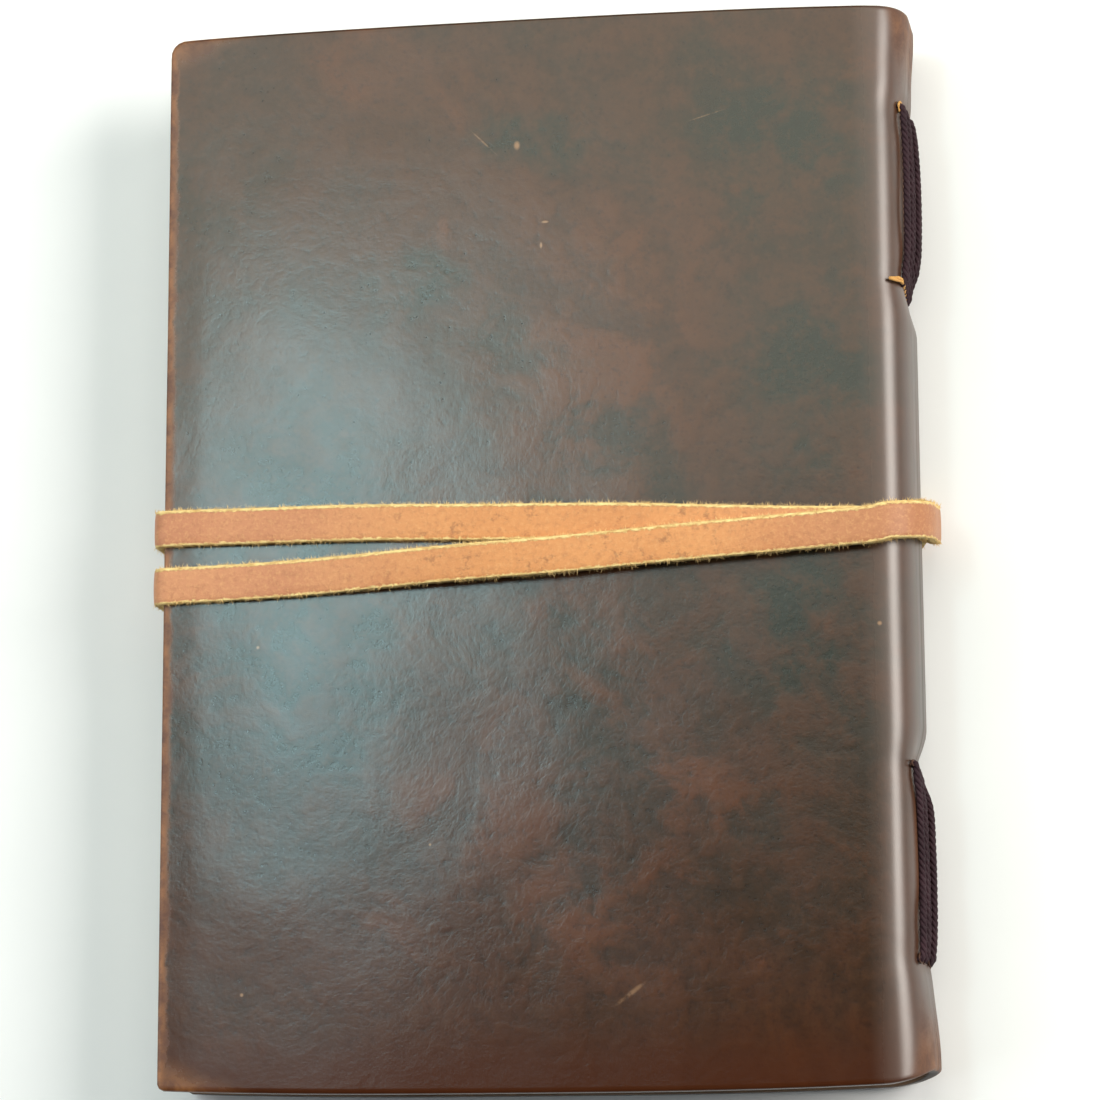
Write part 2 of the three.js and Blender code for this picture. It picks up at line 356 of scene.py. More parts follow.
def hide_finish():
    """Waxed brown hide, clouded, rubbed and scratched, with a burnished edge and a suede inside."""
    material, shader, flow = begin_finish("pull_up_hide")
    place = flow.make("ShaderNodeUVMap", {"uv_map": "cut"})
    depth = flow.make("ShaderNodeAttribute", {"attribute_name": "depth"}, output=2)
    fore = flow.make("ShaderNodeAttribute", {"attribute_name": "fore"}, output=2)
    end = flow.make("ShaderNodeAttribute", {"attribute_name": "end"}, output=2)
    along = flow.make("ShaderNodeSeparateXYZ", {}, {0: place}, 1)
    # Brown dye, blackened to a greenish tone in broad clouds, with a rusty bloom here and there.
    broad = place.clouds(0.046, 3, 0.5, 0.7).between(0.36, 0.64)
    brown, blackened = (0.044, 0.015, 0.0042), (0.012, 0.016, 0.010)
    rusty, rubbed_brown = (0.105, 0.030, 0.007), (0.062, 0.022, 0.008)
    drift = place.make(
        "ShaderNodeTexNoise", {"noise_dimensions": "3D"}, {"Vector": place, "Scale": 60.0, "Detail": 4.0}, 1
    )
    drift = drift.make("ShaderNodeVectorMath", {"operation": "SUBTRACT"}, {0: drift, 1: (0.5, 0.5, 0.5)})
    drift = drift.make("ShaderNodeVectorMath", {"operation": "SCALE"}, {0: drift, 3: 0.030})
    moved = drift.make("ShaderNodeVectorMath", {"operation": "ADD"}, {0: place, 1: drift})
    # Places on the upper cover where hands have left it blacker, or rubbed it back to brown.
    dark = broad * 0.68
    for middle, reach in (
        ((0.043, 0.043), (0.016, 0.012)),
        ((0.104, 0.066), (0.030, 0.024)),
        ((0.109, 0.028), (0.022, 0.034)),
        ((0.106, -0.016), (0.024, 0.022)),
        ((0.064, 0.068), (0.013, 0.010)),
        ((0.024, -0.010), (0.030, 0.060)),
    ):
        dark = dark.math("MAXIMUM", dark, moved.spot(middle, reach))
    rubbed_and_lit = moved.spot((0.045, 0.057), (0.008, 0.006))
    for middle, reach in (
        ((0.089, -0.044), (0.013, 0.014)),
        ((0.053, -0.045), (0.018, 0.016)),
        ((0.074, 0.030), (0.026, 0.040)),
        ((0.076, -0.062), (0.022, 0.018)),
    ):
        rubbed_and_lit = rubbed_and_lit.math("MAXIMUM", rubbed_and_lit, moved.spot(middle, reach) * 0.7)
    colour = dark.tint(brown, blackened)
    middling = place.clouds(0.011, 6, 0.66, 0.3)
    colour = (middling.between(0.42, 0.62) * 0.6).tint(colour, rubbed_brown)
    low_down = 1 - (along + half_height).between(0.004, 0.070)
    colour = (low_down * 0.5).tint(colour, (0.042, 0.012, 0.003))
    rust = place.clouds(0.026, 7, 0.68, 0.9).between(0.54, 0.70)
    rust = rust.math("MAXIMUM", rust * 0.6, rubbed_and_lit * middling.between(0.40, 0.58))
    colour = (rust * 0.8).tint(colour, rusty)
    fine = place.clouds(0.0026, 6, 0.74)
    colour = (fine.between(0.46, 0.70) * 0.40).tint(colour, (0.074, 0.028, 0.009))
    colour = ((1 - fine.between(0.32, 0.48)) * 0.45).tint(colour, (0.012, 0.008, 0.005))
    pores = place.cells(0.0011).between(0.0, 0.40)
    colour = ((1 - pores) * 0.30).tint(colour, (0.006, 0.004, 0.003))
    tail = 1 - (along + half_height).between(0.001, 0.013)
    colour = (tail * 0.8).tint(colour, (0.048, 0.011, 0.002))
    # Worn places, where the wax has gone: the fore-edge, the corners and the ends of the shoulder.
    ragged = place.clouds(0.005, 6, 0.72, 0.3) - 0.5
    worn = 1 - (fore + ragged * 0.0035).between(0.0009, 0.0021)
    corner = 1 - (fore * 0.45 + end + ragged * 0.009).between(0.0022, 0.0075)
    shoulder = fore.between(flat_run - 0.001, flat_run + 0.006)
    tip = (end + (1 - shoulder) * 0.02 + ragged * 0.012).between(0.0035, 0.0160)
    worn = worn.math("MAXIMUM", worn, corner * 0.85)
    worn = worn.math("MAXIMUM", worn, (1 - tip) * 0.9)
    tan = ragged.between(-0.16, 0.20).tint((0.085, 0.025, 0.007), (0.270, 0.110, 0.035))
    colour = worn.tint(colour, tan)
    # The shoulder and the spine are matt from handling, most of all under the long stitches.
    handled = fore.between(flat_run - 0.0045, flat_run + 0.0015)
    wall = fore.between(flat_run + 0.006, flat_run + 0.011)
    handled_less = 1 - wall * 0.6
    colour = (handled * handled_less * 0.5).tint(colour, (0.075, 0.030, 0.016))

    def under_stitches(hole, slit):
        offset = along - (hole + slit) / 2
        return 1 - offset.math("ABSOLUTE", offset).between(0.013, 0.019)

    sewn = along.math("MAXIMUM", *[under_stitches(*group) for group in stitch_groups])
    sewn = sewn * fore.between(flat_run + 0.0045, flat_run + 0.0075)
    colour = (sewn * 0.8).tint(colour, (0.120, 0.045, 0.018))
    # A few scratches and nicks in the upper cover.
    marks = place.spot((0.060, 0.0675), (0.0007, 0.0010)) * fine.between(0.25, 0.45)
    for middle, reach in (
        ((0.0647, 0.054), (0.0008, 0.0003)),
        ((0.0640, 0.050), (0.0003, 0.0007)),
        ((0.1189, -0.0154), (0.0005, 0.0005)),
        ((0.0452, -0.0498), (0.0003, 0.0003)),
        ((0.0141, -0.0737), (0.0004, 0.0004)),
        ((0.0163, -0.0166), (0.0004, 0.0004)),
    ):
        marks = marks.math("MAXIMUM", marks, place.spot(middle, reach))
    for start, finish, width in (
        ((0.0748, -0.0766), (0.0810, -0.0719), 0.00055),
        ((0.0516, 0.0710), (0.0571, 0.0655), 0.00022),
        ((0.0880, 0.0700), (0.0955, 0.0722), 0.00018),
    ):
        lean = math.atan2(finish[1] - start[1], finish[0] - start[0])
        length = math.dist(start, finish)
        line = place.make(
            "ShaderNodeMapping",
            {"vector_type": "TEXTURE"},
            {
                "Vector": place,
                "Location": ((start[0] + finish[0]) / 2, (start[1] + finish[1]) / 2, 0),
                "Rotation": (0, 0, lean),
                "Scale": (length / 2, width, 1),
            },
        )
        span = line.make("ShaderNodeVectorMath", {"operation": "LENGTH"}, {0: line}, 1)
        marks = marks.math("MAXIMUM", marks, (1 - span.between(0.2, 1.0)) * fine.between(0.35, 0.6) * 0.6)
    colour = (marks * 0.8).tint(colour, (0.290, 0.165, 0.085))
    # The cut edge is burnished dark, and the flesh side is a dry suede.
    colour = depth.between(0.10, 0.30).tint(colour, (0.026, 0.012, 0.006))
    flesh = depth.between(0.86, 0.98)
    nap = place.clouds(0.0008, 5, 0.7)
    suede = nap.tint((0.100, 0.055, 0.030), (0.220, 0.136, 0.082))
    suede = (place.clouds(0.016, 5, 0.6, 0.5).between(0.40, 0.66) * 0.5).tint(suede, (0.080, 0.042, 0.022))
    colour = flesh.tint(colour, suede)
    wax = place.clouds(0.020, 4, 0.6, 0.4)
    roughness = 0.12 + wax * 0.08 + fine * 0.05 + worn * 0.20 + sewn * 0.3 + handled * 0.22 + flesh * 0.5
    height = pores * 0.08 + fine * 0.85 + place.clouds(0.0006, 4, 0.7) * 0.15 + middling * 2.1
    end_finish(material, shader, colour, roughness, height, 0.03 * MM, {"Specular IOR Level": 0.5})
    coat = handled * (1 - flesh) * (1 - sewn) * (1 - worn) * handled_less * 0.8
    material.node_tree.links.new(coat.socket, shader.inputs["Coat Weight"])
    shader.inputs["Coat Roughness"].default_value = 0.38
    return material


hide_material = hide_finish()
for half, cover_body in ((upper_hide, "top_cover"), (lower_hide, "bottom_cover")):
    half.data.materials.append(hide_material)
    face_z, inward = (top_z, -1) if cover_body == "top_cover" else (bottom_z, 1)
    on_wall = (back_x, 0, face_z + inward * SHOULDER)
    if cover_body == "top_cover":
        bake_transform(half)
        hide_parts("top_cover", "spine")
    else:
        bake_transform(half)
        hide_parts("bottom_cover")

# ---------------------------------------------------------------------------
# The sections: sheets of cream paper folded together four at a time, each inside the
# last, so the inner ones stand out a little further at the fore-edge.
# ---------------------------------------------------------------------------
FOLIOS = 4
SHEET = 0.24 * MM
CREEP = 0.35 * MM  # how far each folio stands out past the one around it
FOLD_SQUEEZE = 0.20  # how much the sewing presses the folds together
FOLD_GAP = 0.3 * MM
FOLD_STEPS, LEAF_STEPS = 8, 24
section_count = sum(name.startswith("section_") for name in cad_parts)


def fold_section(number):
    """One section's folded sheets, and the X of its fold."""
    low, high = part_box(f"section_{number}")
    middle = (low.z + high.z) / 2
    outer = (high.z - low.z) / 2
    rise = (middle - bottom_z) / (top_z - bottom_z)
    drawn_in = max(spine_pull(y * MM, rise) for y in range(-84, 85, 4))
    fold_x = high.x - outer - drawn_in - FOLD_GAP
    rng = random.Random(number)
    bm = bmesh.new()
    for folio in range(FOLIOS):
        radius = outer - (folio + 0.5) * (outer - 0.25 * MM) / FOLIOS
        creep = folio * CREEP + rng.uniform(-0.15, 0.15) * MM
        slip = rng.uniform(-0.2, 0.2) * MM
        spread = rng.uniform(0.0, 0.12) * MM
        # One leaf's end line, spun round the fold and run out to the fore-edge on both sides.
        outline = []
        for i in range(FOLD_STEPS + 1):
            angle = math.pi / 2 - math.pi * i / FOLD_STEPS
            outline.append((fold_x + radius * math.cos(angle), middle + radius * math.sin(angle)))
        leaf = fold_x - low.x - 1.2 * MM + creep
        shares = [(LEAF_STEPS - i) / LEAF_STEPS for i in range(LEAF_STEPS)]
        upper = [(fold_x - leaf * share, middle + radius + spread * share) for share in shares]
        lower = [(x, 2 * middle - z) for x, z in reversed(upper)]
        path = upper + outline + lower
        verts = []
        for x, z in path:
            squeeze = 1 - FOLD_SQUEEZE * ease(x, fold_x - 16 * MM, fold_x - 2 * MM)
            verts.append(bm.verts.new((x, low.y + slip, middle_z + (z - middle_z) * squeeze)))
        edges = [bm.edges.new(pair) for pair in zip(verts, verts[1:])]
        grown = bmesh.ops.extrude_edge_only(bm, edges=edges)
        ends = [g for g in grown["geom"] if isinstance(g, bmesh.types.BMVert)]
        bmesh.ops.translate(bm, vec=(0, high.y - low.y, 0), verts=ends)
        faces = [g for g in grown["geom"] if isinstance(g, bmesh.types.BMFace)]
        bmesh.ops.solidify(bm, geom=faces, thickness=SHEET)
    bmesh.ops.recalc_face_normals(bm, faces=bm.faces[:])
    return make_piece(bm, f"paper_section_{number}"), fold_x


def paper_finish():
    """Cream paper with visible fibres, a little yellowed."""
    material, shader, flow = begin_finish("cream_paper")
    place = flow.make("ShaderNodeTexCoord", {}, output=3)
    fibres = place.clouds(0.0015, 6, 0.7, 0.4, (1, 3, 1))
    foxing = place.clouds(0.012, 4).between(0.5, 0.8)
    colour = fibres.tint((0.66, 0.56, 0.40), (0.80, 0.72, 0.56))
    colour = (foxing * 0.25).tint(colour, (0.52, 0.38, 0.22))
    roughness = 0.85 + fibres * 0.1
    end_finish(material, shader, colour, roughness, fibres, 0.04 * MM)
    return material


paper_material = paper_finish()
inner_folds = {}
for number in range(1, section_count + 1):
    paper, inner_folds[number] = fold_section(number)
    paper.data.materials.append(paper_material)
    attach(paper, f"section_{number}")
    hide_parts(f"section_{number}")

# ---------------------------------------------------------------------------
# The sewing: dark waxed linen cord of three plies. Each section has a long stitch near
# the head and one near the tail, lying out on the spine, and a run inside its fold.
# ---------------------------------------------------------------------------
PLIES = 3
INNER_CORD = 0.22 * MM  # the same cord pressed flat inside a fold
TWIST = 3.4 * MM  # length of one turn of the plies
PLY, PLY_OFFSET = 0.56, 0.5  # a ply's radius and its middle's place, as shares of the cord's radius
AT_HOLE = 0.2 * MM  # how far out the cord is as it leaves the leather
FULLEST_ROW = 2.6  # the cords stand out most here, counted from the lower cover
SLACK = {"head": (0.25 * MM, 0.2 * MM), "tail": (0.5 * MM, 0.9 * MM)}  # lying closer, slipping down


def lay_cord(name, points, radius, step):
    """Three plies twisted together along a smooth line through the points."""
    line = bpy.data.curves.new(name, "CURVE")
    path = smooth_line(points, step)
    line.dimensions = "3D"
    line.bevel_depth = radius * PLY
    line.bevel_resolution = 2
    line.use_fill_caps = True
    travelled = 0
    strands = [[] for _ in range(PLIES)]
    for i, here in enumerate(path):
        tangent = (path[min(i + 1, len(path) - 1)] - path[max(i - 1, 0)]).normalized()
        side = tangent.cross(Vector((0, 0, 1))).normalized()
        rise = side.cross(tangent)
        if i:
            travelled += (here - path[i - 1]).length
        for k in range(PLIES):
            angle = 2 * math.pi * (travelled / TWIST + k / PLIES)
            offset = (side * math.cos(angle) + rise * math.sin(angle)) * radius * PLY_OFFSET
            strands[k].append(here + offset)
    for strand in strands:
        spline = line.splines.new("POLY")
        spline.points.add(len(strand) - 1)
        for point, place in zip(spline.points, strand):
            point.co = (*place, 1)
        spline.use_smooth = True
    curve = bpy.data.objects.new(name, line)
    bpy.context.scene.collection.objects.link(curve)
    bpy.context.view_layer.update()
    mesh = bpy.data.meshes.new_from_object(curve)
    bpy.data.objects.remove(curve)
    mesh.name = name
    piece = bpy.data.objects.new(name, mesh)
    bpy.context.scene.collection.objects.link(piece)
    return piece


def smooth_line(points, step):
    """Even steps along a Catmull-Rom curve through the points."""
    points = [Vector(p) for p in points]
    guard = [2 * points[0] - points[1], *points, 2 * points[-1] - points[-2]]
    fine = []
    for a, b, c, d in zip(guard, guard[1:], guard[2:], guard[3:]):
        for i in range(24):
            t = i / 24
            bend = (2 * a - 5 * b + 4 * c - d) * t * t + (3 * b - a - 3 * c + d) * t ** 3
            fine.append((2 * b + (c - a) * t + bend) * 0.5)
    fine.append(points[-1])
    path, left = [fine[0]], step
    for a, b in zip(fine, fine[1:]):
        span = (b - a).length
        while span >= left and span > 0:
            a = a + (b - a) * (left / span)
            span = (b - a).length
            path.append(a)
            left = step
        left -= span
    return path


def thread_finish():
    """Dark, waxed and slightly fuzzy, paler where it has rubbed."""
    material, shader, flow = begin_finish("waxed_thread")
    place = flow.make("ShaderNodeTexCoord", {}, output=3)
    fuzz = place.clouds(0.0005, 5, 0.7)
    worn = place.clouds(0.006, 3).between(0.4, 0.7)
    colour = fuzz.tint((0.008, 0.002, 0.004), (0.034, 0.011, 0.018))
    colour = (worn * 0.3).tint(colour, (0.060, 0.024, 0.034))
    end_finish(material, shader, colour, 0.60 + fuzz * 0.25, fuzz, 0.06 * MM, {"Specular IOR Level": 0.3})
    return material


def leather_back(y, z):
    """X of the spine's grain face at a height, drawn in by the sewing."""
    face_z, inward = (top_z, -1) if z > middle_z else (bottom_z, 1)
    drop = min(abs(face_z - z), SHOULDER)
    s = flat_run + SHOULDER * math.acos(1 - drop / SHOULDER)
    return over_hide(s, y, 0, face_z, inward).x


thread_material = thread_finish()
for number in range(1, section_count + 1):
    low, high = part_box(f"section_{number}")
    z = (low.z + high.z) / 2
    rng = random.Random(40 + number)
    for group, (hole, slit) in zip(("head", "tail"), stitch_groups):
        closer, slack = SLACK[group]
        middle_out = 1 - abs(number - FULLEST_ROW) / section_count
        stand = CORD + 0.95 * MM * middle_out - closer
        slip = ease(number, 3, 6) * slack
        span = slit - hole
        points = [
            (leather_back(hole, z) - LEATHER, hole, z),
            (leather_back(hole, z) + AT_HOLE, hole, z),
        ]
        for share in (0.08, 0.22, 0.4, 0.6, 0.8, 0.92):
            y = hole + span * share
            lift = CORD * 0.75 + (stand - CORD * 0.9) * math.sin(math.pi * min(1, share * 1.1)) ** 0.7
            sunk = z - slip * math.sin(math.pi * share)
            points.append((leather_back(y, sunk) + lift, y, sunk + rng.uniform(-0.5, 0.5) * MM))
        points.append((leather_back(slit, z) + AT_HOLE, slit, z))
        points.append((leather_back(slit, z) - LEATHER, slit, z))
        cord = lay_cord(f"{group}_cord_{number}", points, CORD, 0.4 * MM)
        cord.data.materials.append(thread_material)
        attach(cord, "spine")
        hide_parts(f"{group}_stitch_{number}")
    # Inside the fold the cord is pressed flat between the two middle leaves.
    fold_z = middle_z + (z - middle_z) * (1 - FOLD_SQUEEZE)
    low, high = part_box(f"inner_stitch_{number}")
    inner_x = inner_folds[number] - 0.15 * MM
    points = [(inner_x, low.y + (high.y - low.y) * i / 6, fold_z) for i in range(7)]
    cord = lay_cord(f"inner_cord_{number}", points, INNER_CORD, 0.8 * MM)
    cord.data.materials.append(thread_material)
    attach(cord, f"section_{number}")
    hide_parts(f"inner_stitch_{number}")


def raised_rim(bm, centre_line, radius):
    """A closed, slightly uneven rope of raw leather along a ring of points."""
    rings = []
    count = len(centre_line)
    for i, here in enumerate(centre_line):
        tangent = (centre_line[(i + 1) % count] - centre_line[i - 1]).normalized()
        side = tangent.cross(Vector((1, 0, 0))).normalized()
        out = side.cross(tangent)
        swell = radius * (1 + 0.8 * noise.noise(here / (0.7 * MM)))
        turns = [k * math.pi / 3 for k in range(6)]
        rings.append(
            [bm.verts.new(here + (side * math.cos(a) + out * math.sin(a)) * swell) for a in turns]
        )
    for i in range(count):
        for k in range(6):
            a, b = rings[i], rings[(i + 1) % count]
            bm.faces.new((a[k], a[(k + 1) % 6], b[(k + 1) % 6], b[k]))


# The edges of the punched holes and the two slits, where the raw leather is pulled out.
HOLE = 0.85 * MM
SLIT_LOW = 2.9 * MM
RIMS = (  # for each group: the slit's end below the cover, half its gape, its rim and a hole's rim
    (0.3 * MM, 0.20 * MM, 0.30 * MM, 0.20 * MM),
    (2.2 * MM, 0.42 * MM, 0.15 * MM, 0.13 * MM),
)
rims = bmesh.new()
for (hole, slit), (below, slit_gape, slit_rim, hole_rim) in zip(stitch_groups, RIMS):
    slit_low, slit_high = bottom_z + SLIT_LOW, top_z - below
    for number in range(1, section_count + 1):
        low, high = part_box(f"section_{number}")
        z = (low.z + high.z) / 2
        ring = []
        for k in range(20):
            angle = math.pi * k / 10
            y, up = hole + HOLE * math.cos(angle), z + HOLE * math.sin(angle)
            ring.append(Vector((leather_back(y, up) + 0.02 * MM, y, up)))
        raised_rim(rims, ring, hole_rim)
    ring = []
    for k in range(120):
        angle = 2 * math.pi * k / 120
        up = (slit_low + slit_high) / 2 + (slit_high - slit_low) / 2 * math.sin(angle)
        y = slit + slit_gape * max(-1, min(1, 3 * math.cos(angle)))
        ring.append(Vector((leather_back(y, up) + 0.10 * MM, y, up)))
    raised_rim(rims, ring, slit_rim)
bmesh.ops.recalc_face_normals(rims, faces=rims.faces[:])
for face in rims.faces:
    face.smooth = True
hole_edges = make_piece(rims, "sewing_hole_edges")
material, shader, flow = begin_finish("raw_hole_edges")
place = flow.make("ShaderNodeTexCoord", {}, output=3)
fibres = place.clouds(0.0006, 5, 0.7)
raw = fibres.tint((0.36, 0.13, 0.025), (0.76, 0.46, 0.14))
head_side = place.make("ShaderNodeSeparateXYZ", {}, {0: place}, 1).between(-0.010, 0.010)
raw = head_side.tint((0.060, 0.022, 0.010), raw)
end_finish(material, shader, raw, 0.7 + fibres * 0.2, fibres, 0.1 * MM)
hole_edges.data.materials.append(material)
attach(hole_edges, "spine")

# ---------------------------------------------------------------------------
# The strap: a flat lace of tan leather, raw and pale along its cut edges. It is cut
# flat and then wound: under, round the fore-edge and over, twice, with both ends under.
# ---------------------------------------------------------------------------
STRAP_WIDTH = 6.0 * MM
STRAP = 1.55 * MM
STRAP_WEAR = 0.22 * MM
STRAP_COLUMNS = 1000
FIBRE_TRIES = 30000
TOUCH = 0.08 * MM  # the air left between the strap and the hide
FLOOR_GAP = 0.18 * MM
first_fore = middle_y("strap_first_turn_fore_edge")
second_fore = middle_y("strap_second_turn_fore_edge")
last_end_y = middle_y("strap_last_end")
first_end_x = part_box("strap_first_end")[1].x
last_end_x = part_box("strap_last_end")[0].x


def strap_route():
    """The lace's middle line, in the order it is wound."""
    route = []
    half = STRAP / 2
    under, corner = half + FLOOR_GAP, 1.5 * MM
    outside = fore_x - TOUCH - half
    roof = top_z + TOUCH + half

    def run(start, end, count):
        for i in range(count):
            route.append(Vector(start).lerp(Vector(end), i / count))

    def turn(y, z, start):
        for i in range(14):
            angle = math.radians(start - 90 * i / 14)
            across = outside + corner + corner * math.cos(angle)
            route.append(Vector((across, y, z + corner * math.sin(angle))))

    def round_fore_edge(y):
        turn(y, under + corner, 270)
        run((outside, y, under + corner), (outside, y, roof - corner), 18)
        turn(y, roof - corner, 180)

    def over_and_down(y_start, lift, y_top, y_wall, y_low, bow, slant):
        """Over the upper cover, round both shoulders, to the underside of the book."""
        first = outside + corner - fore_x
        for i in range(150):
            t = i / 150
            s = first + (flat_run - first) * t
            above = TOUCH + half + lift * ease(t, 0.16, 0.46)
            y = y_start + (y_top - y_start) * t + bow * math.sin(math.pi * t ** 0.8)
            route.append(over_hide(s, y, above, top_z, -1))
        wall = hide_half - flat_run
        for i in range(34):
            t = i / 34
            y = y_top + (y_wall - y_top) * ease(t, -0.6, 1.2)
            route.append(over_hide(flat_run + wall * t, y, TOUCH + half + lift, top_z, -1))
        for i in range(34):
            t = i / 34
            y = y_wall + slant * t + (y_low - y_wall - slant) * ease(t, 0.42, 1.0)
            settle = ease(t, 0.55, 1.0)
            place = over_hide(hide_half - wall * t, y, TOUCH + half + lift * (1 - settle), bottom_z, 1)
            clear = max(place.z, under)
            place.z = clear + (under - clear) * settle
            route.append(place)

    run((first_end_x, first_fore, under), (outside + corner, first_fore, under), 40)
    round_fore_edge(first_fore)
    on_top = strap_y - 0.5 * MM
    low_y = on_top + 1.3 * MM
    y_wall = on_top + 2.3 * MM
    over_and_down(first_fore, 0, on_top, y_wall, low_y, bow=0.8 * MM, slant=3.4 * MM)
    run((route[-1].x, low_y, under), (outside + corner, second_fore, under), 110)
    round_fore_edge(second_fore)
    lift, last_y = STRAP + 0.03 * MM, low_y + 6.3 * MM
    y_wall = on_top + 2.0 * MM
    over_and_down(second_fore, lift, on_top, y_wall, last_y, bow=-0.65 * MM, slant=2.1 * MM)
    run((route[-1].x, last_y, under), (last_end_x, last_end_y, under), 40)
    # Thick leather makes no sharp turns, so three passes round the route off, clear of the table.
    for _ in range(3):
        for i in range(1, len(route) - 1):
            if route[i].z > under + 0.1 * MM:
                route[i] = route[i - 1] * 0.25 + route[i] * 0.5 + route[i + 1] * 0.25
    return route


def strap_wander(s):
    """How far the lace strays sideways, as a hand-cut lace does."""
    return 0.35 * MM * noise.noise(Vector((s / (34 * MM), 3, 0)))


def cut_strap():
    """The lace, cut flat, as long as its route: length along X, width along Y, grain side at Z 0."""
    route = strap_route()
    lengths = [0]
    for a, b in zip(route, route[1:]):
        lengths.append(lengths[-1] + (b - a).length)
    total = lengths[-1]
    bm = bmesh.new()
    bmesh.ops.create_grid(bm, x_segments=STRAP_COLUMNS, y_segments=8, size=0.5)
    for v in bm.verts:
        v.co.x = (v.co.x + 0.5) * total
        v.co.y *= STRAP_WIDTH
    grown = bmesh.ops.extrude_face_region(bm, geom=bm.faces[:], use_keep_orig=True)
    lower = [g for g in grown["geom"] if isinstance(g, bmesh.types.BMVert)]
    bmesh.ops.translate(bm, vec=(0, 0, -STRAP), verts=lower)
    bmesh.ops.recalc_face_normals(bm, faces=bm.faces[:])
    rim = []
    for e in bm.edges:
        sides = [abs(f.normal.z) > 0.5 for f in e.link_faces]
        if any(sides) and not all(sides):
            rim.append(e)
    wear_edges(bm, rim, STRAP_WEAR, 2)
    return bm, route, lengths


def wind_strap():
    """The lace wound along its route, with its ragged edges, its crown and its dents."""
    bm, route, lengths = cut_strap()
    laid = bm.loops.layers.uv.new("laid")
    depth_layer = bm.verts.layers.float.new("depth")
    side_layer = bm.verts.layers.float.new("side")
    for face in bm.faces:
        face.smooth = True
        for loop in face.loops:
            loop[laid].uv = loop.vert.co.xy
    frames = []
    for i, here in enumerate(route):
        tangent = (route[min(i + 1, len(route) - 1)] - route[max(i - 1, 0)]).normalized()
        out = tangent.cross(Vector((0, 1, 0))).normalized()
        frames.append((here, out, out.cross(tangent).normalized()))
    index = 0
    for v in sorted(bm.verts, key=lambda v: v.co.x):
        s, across, depth = v.co.x, v.co.y, -v.co.z
        while index < len(lengths) - 2 and lengths[index + 1] < s:
            index += 1
        t = (s - lengths[index]) / (lengths[index + 1] - lengths[index])
        place, out, wide = (a.lerp(b, t) for a, b in zip(frames[index], frames[index + 1]))
        v[depth_layer] = depth / STRAP
        v[side_layer] = across / STRAP_WIDTH
        edge = abs(across) / (STRAP_WIDTH / 2)
        nick = Vector((s / (1.1 * MM), math.copysign(9, across), depth / (0.8 * MM)))
        ragged = 0.10 * MM * noise.noise(nick)
        across += math.copysign(ragged * ease(edge, 0.8, 1.0), across) + strap_wander(s)
        crown = 0.10 * MM * (1 - edge ** 2) - 0.06 * MM * ease(edge, 0.7, 1)
        height = STRAP / 2 - depth + crown * (1 - depth / STRAP)
        height += 0.05 * MM * noise.noise(Vector((s / (9 * MM), across / (5 * MM), 7)))
        v.co = place + out.normalized() * height + wide.normalized() * across
        v.co.z = max(v.co.z, 0.01 * MM)
    bmesh.ops.recalc_face_normals(bm, faces=bm.faces[:])
    return make_piece(bm, "wound_strap"), frames, lengths


def fray_strap(frames, lengths):
    """Loose fibres along both cut edges of the lace, each a thin three-sided spike."""
    rng = random.Random(7)
    bm = bmesh.new()
    for _ in range(FIBRE_TRIES):
        s = rng.uniform(0, lengths[-1])
        if noise.noise(Vector((s / (2.5 * MM), 11, 0))) < rng.uniform(-0.5, 0.25):
            continue
        index = min(range(0, len(lengths) - 1, 16), key=lambda i: abs(lengths[i] - s))
        while index < len(lengths) - 2 and lengths[index + 1] < s:
            index += 1
        while index > 0 and lengths[index] > s:
            index -= 1
        t = (s - lengths[index]) / (lengths[index + 1] - lengths[index])
        place, out, wide = (a.lerp(b, t) for a, b in zip(frames[index], frames[index + 1]))
        side = rng.choice((-1, 1, 1))
        edge = side * (STRAP_WIDTH / 2 - 0.12 * MM) + strap_wander(s)
        root = place + wide * edge + out * rng.uniform(-0.4, 0.5) * STRAP
        along = wide.cross(out)
        lean = wide * side * rng.uniform(0.3, 1.0) + along * rng.uniform(-0.9, 0.9)
        lean += out * rng.uniform(-0.1, 0.5)
        reach = lean.normalized() * (0.28 + 0.80 * rng.random() ** 3) * MM
        if min(root.z, root.z + reach.z) < 0.2 * MM:
            continue
        girth = rng.uniform(0.035, 0.075) * MM
        thirds = [k * 2 * math.pi / 3 for k in range(3)]
        ring = [
            bm.verts.new(root + (along * math.cos(a) + out * math.sin(a)) * girth) for a in thirds
        ]
        tip = bm.verts.new(root + reach)
        bm.faces.new(ring)
        for k in range(3):
            bm.faces.new((ring[k], ring[(k + 1) % 3], tip))
    bmesh.ops.recalc_face_normals(bm, faces=bm.faces[:])
    return make_piece(bm, "strap_fibres")


